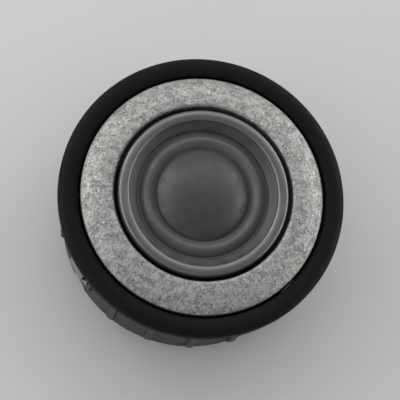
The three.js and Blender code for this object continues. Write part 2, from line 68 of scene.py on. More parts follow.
def rounded(points, closed=True):
    """A profile of (r, z, fillet) corners as a line with its corners rounded."""
    line = []
    count = len(points)
    for i, (r, z, fillet) in enumerate(points):
        here = Vector((r, z))
        if fillet == 0 or (not closed and i in (0, count - 1)):
            line.append(here)
            continue
        before = Vector(points[i - 1][:2]) - here
        after = Vector(points[(i + 1) % count][:2]) - here
        length_before, length_after = before.length, after.length
        before.normalize()
        after.normalize()
        inside = math.acos(max(-1.0, min(1.0, before.dot(after))))
        if inside > math.pi - 0.03:
            line.append(here)
            continue
        reach = min(fillet / math.tan(inside / 2), 0.47 * length_before, 0.47 * length_after)
        radius = reach * math.tan(inside / 2)
        centre = here + (before + after).normalized() * (radius / math.sin(inside / 2))
        start = here + before * reach - centre
        end = here + after * reach - centre
        first = math.atan2(start.y, start.x)
        turn = math.atan2(end.y, end.x) - first
        turn = (turn + math.pi) % (math.tau) - math.pi
        parts = max(2, math.ceil(abs(turn) / 0.27))
        for k in range(parts + 1):
            angle = first + turn * k / parts
            line.append(centre + radius * Vector((math.cos(angle), math.sin(angle))))
    return line


def held(line, closed=True, reach=0.3, longest=2.0):
    """Adds points near the ends of long edges, so that shading and wear stay close to the corners."""
    made = []
    pairs = list(zip(line, line[1:] + line[:1])) if closed else list(zip(line, line[1:]))
    for a, b in pairs:
        made.append(a)
        length = (b - a).length
        if length > 3 * reach:
            inner = [reach / length, 1 - reach / length]
            parts = max(1, math.ceil((length - 2 * reach) / longest))
            for k in range(parts + 1):
                share = inner[0] + (inner[1] - inner[0]) * k / parts
                made.append(a.lerp(b, share))
    if not closed:
        made.append(line[-1])
    return made


def revolve(line, facets=FINE, closed=True):
    """A closed (r, z) line turned round the z axis. An open line starts and ends on the axis."""
    bm = bmesh.new()
    columns = []
    poles = {}
    for s in range(facets):
        angle = math.tau * s / facets
        cos, sin = math.cos(angle), math.sin(angle)
        column = []
        for i, (r, z) in enumerate(line):
            if r < 1e-6:
                if i not in poles:
                    poles[i] = bm.verts.new((0, 0, z))
                column.append(poles[i])
            else:
                column.append(bm.verts.new((r * cos, r * sin, z)))
        columns.append(column)
    last = len(line) if closed else len(line) - 1
    for s in range(facets):
        here, there = columns[s], columns[(s + 1) % facets]
        for i in range(last):
            j = (i + 1) % len(line)
            corners = []
            for v in (here[i], there[i], there[j], here[j]):
                if v not in corners:
                    corners.append(v)
            if len(corners) > 2:
                bm.faces.new(corners)
    bmesh.ops.recalc_face_normals(bm, faces=bm.faces)
    return bm


def turned(points, facets=FINE):
    """A lathe-turned solid from its corners. Corners that start on the axis have to end on it."""
    closed = points[0][0] > 1e-6
    return revolve(held(rounded(points, closed), closed), facets, closed)


def moved(bm, matrix):
    """The same mesh, moved by a matrix, with its faces still pointing out."""
    bmesh.ops.transform(bm, matrix=matrix, verts=bm.verts)
    if matrix.to_3x3().determinant() < 0:
        bmesh.ops.reverse_faces(bm, faces=bm.faces)
    return bm


def shift(x, y, z):
    return Matrix.Translation((x, y, z))


def spin(angle):
    return Matrix.Rotation(angle, 4, "Z")


def framed(bm, margin=0.2):
    """Adds a line of points just inside each broad face, so that wear stays close to the corners."""
    broad = [
        f for f in bm.faces
        if f.calc_area() > 25 * margin**2 and 2 * f.calc_area() > 4 * margin * f.calc_perimeter()
    ]
    bmesh.ops.inset_individual(bm, faces=broad, thickness=margin, use_even_offset=True)
    return bm


def brick(x, y, z, centre=(0, 0, 0), bevel=0.2, segments=3):
    """A box with rounded edges."""
    bm = bmesh.new()
    bmesh.ops.create_cube(bm, size=1, matrix=shift(*centre) @ Matrix.Diagonal((x, y, z, 1)))
    if bevel:
        bmesh.ops.bevel(
            bm, geom=bm.edges[:], offset=bevel, segments=segments, profile=0.5, affect="EDGES"
        )
        framed(bm)
    return bm


def slab(outline, low, high, bevel=0.15):
    """A flat outline of (x, y) points raised between two heights, with its edges rounded."""
    bm = bmesh.new()
    floor = [bm.verts.new((x, y, low)) for x, y in outline]
    roof = [bm.verts.new((x, y, high)) for x, y in outline]
    bm.faces.new(floor)
    bm.faces.new(roof)
    for i in range(len(outline)):
        j = (i + 1) % len(outline)
        bm.faces.new((floor[i], floor[j], roof[j], roof[i]))
    bmesh.ops.recalc_face_normals(bm, faces=bm.faces)
    if bevel:
        rims = [e for e in bm.edges if e.calc_face_angle(0) > 0.5]
        bmesh.ops.bevel(bm, geom=rims, offset=bevel, segments=2, profile=0.5, affect="EDGES")
        framed(bm)
    return bm


def sector(inner, outer, low, high, centre, half_angle, bevel=0.15):
    """A piece of a flat ring, centred on an angle."""
    angles = [centre - half_angle + 2 * half_angle * k / 8 for k in range(9)]
    outline = [(outer * math.cos(a), outer * math.sin(a)) for a in angles]
    outline += [(inner * math.cos(a), inner * math.sin(a)) for a in reversed(angles)]
    return slab(outline, low, high, bevel)


def heading(path, i):
    """The direction of a path at one of its points."""
    return (path[min(i + 1, len(path) - 1)] - path[max(i - 1, 0)]).normalized()


def skinned(rings):
    """A closed tube through rings of points, capped at both ends."""
    bm = bmesh.new()
    loops = [[bm.verts.new(point) for point in ring] for ring in rings]
    for a, b in zip(loops, loops[1:]):
        for k in range(len(a)):
            j = (k + 1) % len(a)
            bm.faces.new((a[k], a[j], b[j], b[k]))
    bm.faces.new(loops[0])
    bm.faces.new(loops[-1])
    bmesh.ops.recalc_face_normals(bm, faces=bm.faces)
    return bm


def as_object(bm, name="scratch"):
    mesh = bpy.data.meshes.new(name)
    bm.to_mesh(mesh)
    bm.free()
    made = bpy.data.objects.new(name, mesh)
    bpy.context.scene.collection.objects.link(made)
    return made


def discard(made):
    mesh = made.data
    bpy.data.objects.remove(made)
    bpy.data.meshes.remove(mesh)


def combined(bm, tools, operation):
    """The exact boolean of a solid with each tool in turn, UNION or DIFFERENCE."""
    body = as_object(bm)
    for tool in tools:
        other = as_object(tool)
        step = body.modifiers.new("step", "BOOLEAN")
        step.operation = operation
        step.solver = "EXACT"
        step.object = other
        graph = bpy.context.evaluated_depsgraph_get()
        result = bpy.data.meshes.new_from_object(body.evaluated_get(graph))
        body.modifiers.clear()
        old = body.data
        body.data = result
        bpy.data.meshes.remove(old)
        discard(other)
    made = bmesh.new()
    made.from_mesh(body.data)
    bmesh.ops.remove_doubles(made, verts=made.verts, dist=1e-5)
    slivers = [e for e in made.edges if e.is_boundary]  # left where a tool just grazes a facet
    bmesh.ops.holes_fill(made, edges=slivers, sides=4)
    discard(body)
    return made


def on_sphere(radius, z):
    return math.sqrt(radius * radius - z * z)


def cut(bm, tools):
    return combined(bm, tools, "DIFFERENCE")


def fused(bm, tools):
    return combined(bm, tools, "UNION")


def sphere_line(radius, from_z, to_z, count):
    """Corners along a sphere round the tilt centre, not to be rounded."""
    heights = [from_z + (to_z - from_z) * k / count for k in range(count + 1)]
    return [(on_sphere(radius, z), z, 0) for z in heights]


def arc_line(centre, radii, start, end, count):
    """Corners along an ellipse, not to be rounded. Angles are in degrees from the outward direction."""
    made = []
    for k in range(count + 1):
        angle = math.radians(start + (end - start) * k / count)
        made.append((centre[0] + radii[0] * math.cos(angle), centre[1] + radii[1] * math.sin(angle), 0))
    return made


# ---------- materials ----------


class Look:
    """A Principled material and the few node helpers that its surface detail needs."""

    def __init__(self, name, colour, roughness, metallic=0.0, **sockets):
        self.material = bpy.data.materials.new(name)
        self.material.use_nodes = True
        self.tree = self.material.node_tree
        self.shader = self.tree.nodes["Principled BSDF"]
        self.material.diffuse_color = (*colour, 1)
        self.feed((*colour, 1), self.shader.inputs["Base Color"])
        self.feed(roughness, self.shader.inputs["Roughness"])
        self.feed(metallic, self.shader.inputs["Metallic"])
        for socket, value in sockets.items():
            self.feed(value, self.shader.inputs[socket.replace("_", " ")])
        place = self.node("ShaderNodeTexCoord").outputs["Object"]
        scale = self.node("ShaderNodeVectorMath", operation="SCALE")
        self.feed(place, scale.inputs[0])
        scale.inputs["Scale"].default_value = 1 / MM
        self.mm = scale.outputs[0]
        self.axes = None
        self.normal = None

    def node(self, kind, **settings):
        made = self.tree.nodes.new(kind)
        for key, value in settings.items():
            setattr(made, key, value)
        return made

    def feed(self, value, socket):
        if isinstance(value, bpy.types.NodeSocket):
            self.tree.links.new(value, socket)
        else:
            socket.default_value = value

    def math(self, operation, a, b=0.0, c=0.0):
        made = self.node("ShaderNodeMath", operation=operation)
        for value, socket in zip((a, b, c), made.inputs):
            self.feed(value, socket)
        return made.outputs[0]

    def axis(self, index):
        if self.axes is None:
            split = self.node("ShaderNodeSeparateXYZ")
            self.feed(self.mm, split.inputs[0])
            self.axes = split.outputs
        return self.axes[index]

    def radius(self):
        x, y = self.axis(0), self.axis(1)
        square = self.math("MULTIPLY_ADD", x, x, self.math("MULTIPLY", y, y))
        return self.math("SQRT", square)

    def vector(self, x, y):
        made = self.node("ShaderNodeCombineXYZ")
        for value, socket in zip((x, y), made.inputs):
            self.feed(value, socket)
        return made.outputs[0]

    def stretched(self, x, y, z):
        made = self.node("ShaderNodeVectorMath", operation="MULTIPLY")
        self.feed(self.mm, made.inputs[0])
        made.inputs[1].default_value = (x, y, z)
        return made.outputs[0]

    def noise(self, size, detail=3.0, rough=0.55, vector=None, distortion=0.0):
        """Noise from 0 to 1 whose lumps are about size millimetres across."""
        made = self.node("ShaderNodeTexNoise")
        self.feed(self.mm if vector is None else vector, made.inputs["Vector"])
        made.inputs["Scale"].default_value = 1 / size
        made.inputs["Detail"].default_value = detail
        made.inputs["Roughness"].default_value = rough
        made.inputs["Distortion"].default_value = distortion
        return made.outputs["Fac"]

    def cells(self, size, feature="F1", vector=None, output="Distance"):
        made = self.node("ShaderNodeTexVoronoi", feature=feature)
        self.feed(self.mm if vector is None else vector, made.inputs["Vector"])
        made.inputs["Scale"].default_value = 1 / size
        return made.outputs[output]

    def warped(self, size, amount):
        """The place in millimetres, pushed about by noise so that cells lose their straight sides."""
        wobble = self.node("ShaderNodeTexNoise")
        self.feed(self.mm, wobble.inputs["Vector"])
        wobble.inputs["Scale"].default_value = 1 / size
        bent = self.node("ShaderNodeVectorMath", operation="MULTIPLY_ADD")
        self.feed(wobble.outputs["Color"], bent.inputs[0])
        bent.inputs[1].default_value = (amount,) * 3
        self.feed(self.mm, bent.inputs[2])
        return bent.outputs[0]

    def span(self, value, low, high, to_low=0.0, to_high=1.0):
        """Maps low..high onto to_low..to_high, held at both ends."""
        made = self.node("ShaderNodeMapRange", clamp=True, interpolation_type="SMOOTHSTEP")
        for number, socket in zip((value, low, high, to_low, to_high), made.inputs):
            self.feed(number, socket)
        return made.outputs[0]

    def mix(self, share, a, b):
        made = self.node("ShaderNodeMix", data_type="RGBA")
        self.feed(share, made.inputs[0])
        self.feed(a, made.inputs[6])
        self.feed(b, made.inputs[7])
        return made.outputs[2]

    def wear(self, size=0.9, amount=1.0):
        """A mask of worn spots along the piece's outside corners, from its own wear attribute."""
        edge = self.node("ShaderNodeAttribute", attribute_name="wear").outputs["Fac"]
        patchy = self.span(self.noise(size, 4, 0.65), 0.42, 0.62)
        return self.math("MULTIPLY", self.math("POWER", edge, 2.0), self.math("MULTIPLY", patchy, amount))

    def relief(self, height, depth):
        """Bump whose full height is depth millimetres."""
        bump = self.node("ShaderNodeBump")
        bump.inputs["Strength"].default_value = 1.0
        bump.inputs["Distance"].default_value = depth * MM
        self.feed(height, bump.inputs["Height"])
        if self.normal is not None:
            self.feed(self.normal, bump.inputs["Normal"])
        self.normal = bump.outputs[0]
        self.feed(self.normal, self.shader.inputs["Normal"])

    def set_colour(self, value):
        self.feed(value, self.shader.inputs["Base Color"])

    def set_roughness(self, value):
        self.feed(value, self.shader.inputs["Roughness"])


def grey(value, warm=0.0):
    return (value * (1 + warm), value, value * (1 - warm))


def rgba(colour, factor=1.0, lift=0.0):
    """A colour with its alpha, made darker or lighter."""
    return (*[min(1, c * factor + lift) for c in colour], 1)


def moulded(name, colour, roughness, grain=0.3, depth=0.014, worn=3.0, **sockets):
    """Moulded plastic: spark-eroded grain, patchy gloss, faint dust and rubbed corners."""
    look = Look(name, colour, roughness, **sockets)
    fine = look.noise(grain, 2, 0.6)
    blotch = look.noise(7.0, 4, 0.6)
    dust = look.span(look.noise(2.2, 6, 0.7), 0.52, 0.8, 0, 0.16)
    wear = look.wear(1.4, 0.6)
    tone = look.mix(look.span(blotch, 0.3, 0.7), rgba(colour, 0.88), rgba(colour, 1.1))
    tone = look.mix(dust, tone, rgba(colour, 0.9, 0.012))
    look.set_colour(look.mix(wear, tone, rgba(colour, worn, 0.004)))
    rough = look.span(blotch, 0.3, 0.7, roughness - 0.06, roughness + 0.07)
    look.set_roughness(look.math("MULTIPLY_ADD", wear, -0.14, rough))
    look.relief(fine, depth)
    look.relief(look.noise(2.6, 2), depth * 0.8)
    return look.material


def metal(name, colour, roughness, lay="turned", depth=0.004, worn=1.25, plated=None, **sockets):
    """Bare or plated metal with turning lines, rolling lines or a ground finish, and fine scratches."""
    look = Look(name, colour, roughness, 1.0, **sockets)
    if lay == "turned":
        lines = look.noise(0.09, 3, 0.7, look.vector(look.radius(), look.axis(2)))
    elif lay == "rolled":
        lines = look.noise(0.1, 3, 0.7, look.stretched(1, 1, 0.03))
    else:
        lines = look.noise(0.14, 4, 0.7)
    stain = look.noise(3.5, 5, 0.62)
    wear = look.wear(0.7)
    dull = rgba(colour, 0.8)
    tint = look.mix(look.span(stain, 0.34, 0.66), dull, rgba(colour))
    tint = look.mix(look.span(lines, 0.35, 0.65, 0, 0.35), tint, dull)
    bright = rgba(colour, worn) if plated is None else rgba(plated)
    look.set_colour(look.mix(wear, tint, bright))
    rough = look.span(stain, 0.3, 0.7, roughness - 0.07, roughness + 0.12)
    look.set_roughness(look.math("MULTIPLY_ADD", lines, 0.1, rough))
    look.relief(lines, depth)
    look.relief(look.noise(0.5, 5, 0.7), depth * 0.8)
    return look.material


def woven(name, colour, roughness, pitch, depth, **sockets):
    """Impregnated cloth: a plain weave part filled with its coating, which has pooled unevenly."""
    look = Look(name, colour, roughness, **sockets)
    wander = look.noise(2.5, 2)
    x = look.math("MULTIPLY_ADD", wander, 0.35, look.axis(0))
    y = look.math("MULTIPLY_ADD", wander, -0.35, look.axis(1))
    warp = look.math("ABSOLUTE", look.math("SINE", look.math("MULTIPLY", x, math.pi / pitch)))
    weft = look.math("ABSOLUTE", look.math("SINE", look.math("MULTIPLY", y, math.pi / pitch)))
    over = look.math("MULTIPLY", look.math("SINE", look.math("MULTIPLY", x, math.pi / pitch / 2)),
                     look.math("SINE", look.math("MULTIPLY", y, math.pi / pitch / 2)))
    over = look.span(over, -0.15, 0.15)
    thread = look.math("ADD", look.math("MULTIPLY", warp, over),
                       look.math("MULTIPLY", weft, look.math("SUBTRACT", 1.0, over)))
    pooled = look.span(look.noise(5.5, 4, 0.6), 0.36, 0.66)
    # Darker between the threads, where the weave dips: painted shade in the weave's gaps.
    tone = look.mix(look.span(thread, 0.0, 0.75), rgba(colour, 0.62), rgba(colour))
    tone = look.mix(look.math("MULTIPLY", pooled, 0.6), tone, rgba(colour, 1.22))
    fleck = look.span(look.noise(0.5, 5, 0.75), 0.66, 0.78, 0, 0.25)
    look.set_colour(look.mix(fleck, tone, rgba(grey(0.16))))
    rough = look.span(pooled, 0.0, 1.0, roughness + 0.09, roughness - 0.07)
    look.set_roughness(look.math("MULTIPLY_ADD", thread, -0.06, rough))
    look.relief(thread, depth)
    look.relief(look.noise(1.6, 4, 0.6), depth * 1.6)
    return look.material


def fibrous(name, colour, size, depth, **sockets):
    """Felt: matted fibres that run in every direction."""
    look = Look(name, colour, 0.95, Specular_IOR_Level=0.2, **sockets)
    across = look.noise(size, 4, 0.7, look.stretched(1, 0.22, 1), 1.2)
    along = look.noise(size, 4, 0.7, look.stretched(0.22, 1, 1), 1.2)
    fibres = look.math("MAXIMUM", across, along)
    clumps = look.noise(size * 9, 3)
    tone = look.mix(look.span(fibres, 0.44, 0.72), rgba(colour, 0.5), rgba(colour, 1.35))
    look.set_colour(look.mix(look.span(clumps, 0.35, 0.65, 0, 0.5), tone, rgba(colour)))
    look.set_roughness(look.span(clumps, 0.3, 0.7, 0.88, 1.0))
    look.relief(fibres, depth)
    look.relief(clumps, depth * 1.5)
    return look.material


def foam(name, colour):
    """Closed-cell foam: small burst bubbles over a matt skin."""
    look = Look(name, colour, 0.9, Specular_IOR_Level=0.3)
    bubbles = look.cells(0.28)
    uneven = look.noise(1.8, 4)
    skin = look.mix(uneven, rgba(colour), rgba(colour, 1.9, 0.004))
    # Darker in the burst bubbles' pits: painted shade in the hollows.
    look.set_colour(look.mix(look.span(bubbles, 0.1, 0.55), rgba(colour, 0.35), skin))
    look.set_roughness(look.span(uneven, 0.3, 0.7, 0.82, 0.98))
    look.relief(bubbles, 0.09)
    look.relief(uneven, 0.08)
    return look.material


def textured_silver(name):
    """The face ring's coat: a sprayed, stippled silver-grey with dark and bright flecks."""
    look = Look(name, grey(0.3), 0.5, 0.3)
    warped = look.warped(0.5, 0.9)
    stipple = look.cells(0.62, "SMOOTH_F1", warped)
    chance = look.node("ShaderNodeSeparateColor")
    look.feed(look.cells(0.7, vector=warped, output="Color"), chance.inputs[0])
    near = look.span(look.cells(0.7, vector=warped), 0.5, 0.26)
    mottle = look.noise(0.75, 4, 0.66)
    fine = look.noise(0.2, 3, 0.7)
    patch = look.noise(2.4, 3, 0.6)
    tone = look.mix(look.span(mottle, 0.36, 0.64), (0.17, 0.17, 0.162, 1), (0.41, 0.41, 0.388, 1))
    tone = look.mix(look.span(fine, 0.34, 0.7, 0, 0.4), tone, (0.5, 0.5, 0.475, 1))
    dark = look.math("MULTIPLY", look.span(chance.outputs[1], 0.72, 0.78), near)
    tone = look.mix(look.math("MULTIPLY", dark, 0.8), tone, (0.045, 0.046, 0.046, 1))
    bright = look.math("MULTIPLY", look.span(chance.outputs[2], 0.76, 0.82), near)
    tone = look.mix(look.math("MULTIPLY", bright, 0.7), tone, (0.7, 0.7, 0.68, 1))
    tone = look.mix(look.span(patch, 0.45, 0.66, 0, 0.5), tone, (0.13, 0.131, 0.127, 1))
    tone = look.mix(look.span(patch, 0.52, 0.36, 0, 0.3), tone, (0.46, 0.465, 0.45, 1))
    look.set_colour(look.mix(look.wear(0.8, 0.6), tone, (0.5, 0.5, 0.48, 1)))
    look.set_roughness(look.math("MULTIPLY_ADD", bright, -0.16, look.span(mottle, 0.3, 0.7, 0.56, 0.42)))
    look.relief(look.math("SUBTRACT", 1.0, stipple), 0.1)
    look.relief(fine, 0.03)
    return look.material


def rimmed_black(name, rim_inner, rim_outer):
    """Black faceplate whose rounded rim, between two radii, is painted a lighter, satin metal-grey on its
    crown: a painted highlight along the rim.
    """
    look = Look(name, grey(0.018), 0.42, Specular_IOR_Level=0.4)
    radius = look.radius()
    height = look.axis(2)
    ring = look.math("MULTIPLY", look.span(radius, rim_inner - 0.12, rim_inner + 0.12),
                     look.span(radius, rim_outer - 0.12, rim_outer + 0.12, 1, 0))
    lift = TILT_CENTRE_Z / MM
    ring = look.math("MULTIPLY", ring, look.span(height, lift + 7.7, lift + 8.0))
    turning = look.noise(0.07, 3, 0.7, look.vector(radius, 0.0))
    blotch = look.noise(4.0, 4)
    grain = look.noise(0.28, 2, 0.6)
    black = look.mix(look.span(blotch, 0.3, 0.7), rgba(grey(0.032)), rgba(grey(0.052)))
    # Past the rim's outer edge, the wall and flange that sit down in the gap beside the face ring are painted
    # darker: painted shade in the gap.
    black = look.mix(look.span(radius, rim_outer - 0.1, rim_outer + 0.2), black, rgba(grey(0.014)))
    rim_highlight_tone = look.mix(turning, rgba(grey(0.1)), rgba(grey(0.22)))
    rim_highlight_tone = look.mix(look.span(look.noise(1.2, 5, 0.7), 0.62, 0.72, 0, 0.6), rim_highlight_tone, rgba(grey(0.06)))
    worn = look.mix(look.wear(), black, rgba(grey(0.09)))
    # The rim's crown takes the lighter metal-grey tone, a painted highlight over the black.
    look.set_colour(look.mix(ring, worn, rim_highlight_tone))
    look.feed(look.math("MULTIPLY", ring, 0.8), look.shader.inputs["Metallic"])
    look.set_roughness(look.math("MULTIPLY_ADD", ring, -0.08, look.span(blotch, 0.3, 0.7, 0.38, 0.5)))
    look.relief(look.math("MULTIPLY", turning, ring), 0.008)
    look.relief(grain, 0.012)
    return look.material


def wound_copper(name):
    """Enamelled copper wire, whose turns run round the former."""
    look = Look(name, (0.58, 0.25, 0.12), 0.3, 1.0, Coat_Weight=0.6, Coat_Roughness=0.15)
    uneven = look.noise(0.6, 4)
    turns = look.noise(0.12, 2, 0.5, look.stretched(0.02, 0.02, 1))
    look.set_colour(look.mix(look.span(uneven, 0.3, 0.7), (0.42, 0.16, 0.07, 1), (0.7, 0.33, 0.17, 1)))
    look.set_roughness(look.span(uneven, 0.3, 0.7, 0.22, 0.4))
    look.relief(turns, 0.02)
    return look.material


def film(name):
    """Amber polyimide film."""
    look = Look(name, (0.3, 0.12, 0.025), 0.25, Transmission_Weight=0.25, Coat_Weight=0.3)
    cloudy = look.noise(2.0, 4)
    look.set_colour(look.mix(cloudy, (0.2, 0.075, 0.015, 1), (0.4, 0.17, 0.04, 1)))
    look.set_roughness(look.span(cloudy, 0.3, 0.7, 0.18, 0.34))
    look.relief(cloudy, 0.01)
    return look.material


def insulation(name, colour):
    """Soft, slightly smeared wire insulation."""
    look = Look(name, colour, 0.38)
    smear = look.noise(1.5, 4)
    look.set_colour(look.mix(look.span(smear, 0.3, 0.7), rgba(colour, 0.75), rgba(colour, 1.15)))
    look.set_roughness(look.span(smear, 0.3, 0.7, 0.3, 0.5))
    look.relief(look.noise(0.4, 3), 0.01)
    return look.material


BEZEL = moulded("bezel_black", grey(0.004), 0.62, 0.24, 0.012, 2.2, Specular_IOR_Level=0.13)
CUP = moulded("cup_charcoal", grey(0.034), 0.5, 0.4, 0.02, 2.0, Specular_IOR_Level=0.4)
NYLON = moulded("nylon_black", (0.012, 0.012, 0.013), 0.44, 0.22, 0.01, 2.6, Specular_IOR_Level=0.35)
HIDDEN_PLASTIC = moulded("frame_black", grey(0.024), 0.5, 0.35, 0.016, 3.0)
FOAM = foam("gasket_foam", grey(0.016))
SILVER = textured_silver("silver_coat")
FACEPLATE = rimmed_black("faceplate_black", 20.75, 23.55)
DOME = woven("dome_cloth", grey(0.048, 0.025), 0.44, 0.42, 0.02, Specular_IOR_Level=0.36,
             Sheen_Weight=0.08, Sheen_Roughness=0.5)
SURROUND = woven("surround_cloth", grey(0.082, 0.02), 0.46, 0.42, 0.024,
                 Sheen_Weight=0.06, Sheen_Roughness=0.5)
GLUE = moulded("dome_glue", grey(0.044), 0.34, 0.8, 0.03, 1.5)
SPRING = metal("spring_steel", (0.4, 0.395, 0.385), 0.3, "rolled", 0.006, worn=1.08)
ALUMINIUM = metal("rivet_aluminium", grey(0.66), 0.34, "ground", 0.006)
PIN_STEEL = metal("pin_steel", grey(0.3), 0.3, "rolled", 0.003)
ZINC = metal("zinc_plate", (0.56, 0.57, 0.58), 0.3, "turned", 0.004, Coat_Weight=0.1)
NICKEL = metal("magnet_nickel", (0.66, 0.63, 0.58), 0.2, "ground", 0.002)
FELT = fibrous("felt_grey", (0.3, 0.28, 0.245), 0.35, 0.12, Sheen_Weight=0.3, Sheen_Roughness=0.6)
BLACK_SCREW = metal("black_oxide", grey(0.035), 0.36, "ground", 0.006, plated=grey(0.4))
BRASS = metal("brass", (0.62, 0.45, 0.19), 0.28, "rolled", 0.004)
WIRE_BLACK = insulation("wire_black", grey(0.015))
WIRE_RED = insulation("wire_red", (0.34, 0.018, 0.016))
FORMER = film("former_film")
COPPER = wound_copper("coil_copper")
SOLDER = metal("solder", grey(0.36), 0.3, "ground", 0.01)


# ---------- putting a piece in the row frame ----------


def mark_wear(mesh):
    """Stores how far each point stands out on a convex corner, from 0 to 1, for the wear masks."""
    bm = bmesh.new()
    bm.from_mesh(mesh)
    layer = bm.verts.layers.float.new("wear")
    for edge in bm.edges:
        if edge.is_manifold:
            bend = edge.calc_face_angle_signed(0.0)
            if bend > 0.05:
                worn = min(1.0, bend / 0.3)
                for v in edge.verts:
                    v[layer] = max(v[layer], worn)
    bm.to_mesh(mesh)
    bm.free()


def install(name, bm, body, node, material, more=()):
    """Makes the piece that stands for a CAD node and rides on its body. more holds its other materials."""
    moved(bm, shift(0, 0, TILT_CENTRE_Z) @ Matrix.Scale(MM, 4))
    bmesh.ops.dissolve_degenerate(bm, edges=bm.edges, dist=1e-8)
    made = as_object(bm, name)
    mesh = made.data
    mark_wear(mesh)
    mesh.shade_smooth()
    mesh.set_sharp_from_angle(angle=math.radians(34))
    mesh.materials.append(material)
    for extra in more:
        mesh.materials.append(extra)
    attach(made, body)
    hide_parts(node)
    return made


def paint(bm, index, inside):
    """Gives the faces whose centre passes a test another of the piece's materials."""
    for face in bm.faces:
        if inside(face.calc_center_median()):
            face.material_index = index


THIRDS = [math.radians(a) for a in (30, 150, 270)]
CLIP_ANGLES = [math.radians(a) for a in (90, 210, 330)]


def plan(radius, angle):
    return radius * math.cos(angle), radius * math.sin(angle)


# ---------- mount ----------

crown = arc_line((37.3, 3.7), (2.7, 2.1), 0, 90, 14) + arc_line((37.3, 4.6), (2.7, 1.2), 90, 180, 14)[1:]
bezel = turned([
    (39.5, 1.8, 0.1), (40, 1.8, 0.15), *crown, (34.6, 3.2, 0.12), (36.0, 3.2, 0.12), (36.0, 4.4, 0.15),
    (39.5, 4.4, 0.3),
])
install("bezel", bezel, "mount", "trim_bezel", BEZEL)

gasket = turned([(38.0, 1.6, 0.12), (39.2, 1.6, 0.2), (39.2, 2.6, 0.25), (38.0, 2.6, 0.12)])
for v in gasket.verts:
    angle = math.atan2(v.co.y, v.co.x)
    pinch = 0.94 + 0.06 * noise.noise(Vector((math.cos(angle), math.sin(angle), 0)) * 9)
    if v.co.z > 2.1:
        v.co.z = 2.1 + (v.co.z - 2.1) * pinch
slit = moved(brick(0.14, 3.0, 3.0, (0, -38.6, 2.1), 0), spin(math.radians(-12)))
gasket = cut(gasket, [slit])
foam_ring = install("gasket", gasket, "mount", "panel_gasket", FOAM)

CUP_OUTER, CUP_INNER, CUP_LOW_OUTER, CUP_LOW_INNER = 37.6, 36.3, 36.2, 34.8
CUP_BOTTOM, CUP_WAIST = -28.0, -8.0
RIVET_Z = -15.0


def rivet_tool(angle):
    """The tool that drills a rivet's hole through the clip and the cup's wall."""
    radius = 1.25
    peg = turned([(0, 0, 0), (radius, 0, 0), (radius, 5, 0), (0, 5, 0)], PEG)
    return moved(peg, spin(angle) @ shift(33.8, 0, RIVET_Z) @ OUTWARD)


def wire_notch(angle):
    """The tool that cuts a half-round notch in the cup's rear rim, with its corners eased."""
    radius = 2.6
    wide = radius + 0.45
    peg = turned([
        (0, 0, 0), (wide, 0, 0), (wide, 0.8, 0), (radius, 1.25, 0.2), (radius, 2.1, 0.2), (wide, 2.55, 0),
        (wide, 3.4, 0), (0, 3.4, 0),
    ], SMALL)
    return moved(peg, spin(angle) @ shift(33.8, 0, CUP_BOTTOM) @ OUTWARD)


def cup_rib(angle, from_z, to_z, width, reach):
    """A moulded rib on the cup's lower wall, tapered at its foot."""
    outline = [(35.7, from_z), (36.5, from_z), (reach, from_z + 3), (reach, to_z), (35.7, to_z)]
    return moved(slab(outline, -width / 2, width / 2, 0.22), spin(angle) @ UPRIGHT)


cup = turned([
    (CUP_LOW_INNER, CUP_BOTTOM, 0.3), (CUP_LOW_OUTER, CUP_BOTTOM, 0.3), (CUP_LOW_OUTER, CUP_WAIST - 1, 0.4),
    (CUP_OUTER, CUP_WAIST, 0.3), (CUP_OUTER, 2.9, 0.15), (39.2, 2.9, 0.15), (39.2, 4.1, 0.2),
    (CUP_INNER, 4.1, 0.2), (CUP_INNER, -6.6, 0.2), (CUP_LOW_INNER, -6.6, 0.2),
])
cup_extras = []
for clip in CLIP_ANGLES:
    for offset in (22, 41, 60, 79, 98):
        cup_extras.append(cup_rib(clip + math.radians(offset), -26, CUP_WAIST - 0.5, 2.0, 37.5))
    for side in (-1, 1):
        rail = cup_rib(clip, -20.5, CUP_WAIST - 1.2, 0.9, 37.1)
        cup_extras.append(moved(rail, spin(clip) @ shift(0, side * 4.7, 0) @ spin(-clip)))
cup_extras.append(sector(35.5, 36.8, 1.5, 2.8, -math.pi / 2, math.radians(4.6)))  # stop lug
cup = fused(cup, cup_extras)
cup = cut(cup, [rivet_tool(a) for a in CLIP_ANGLES])
cup = cut(cup, [wire_notch(a) for a in CLIP_ANGLES])
install("cup", cup, "mount", "mounting_cup", CUP)

washer = turned([(35.1, -0.175, 0.06), (35.9, -0.175, 0.06), (35.9, 0.175, 0.06), (35.1, 0.175, 0.06)])
for v in washer.verts:
    v.co.z += -5.8 + 0.28 * math.cos(3 * math.atan2(v.co.y, v.co.x))
install("wave_spring", washer, "mount", "wave_washer", SPRING)


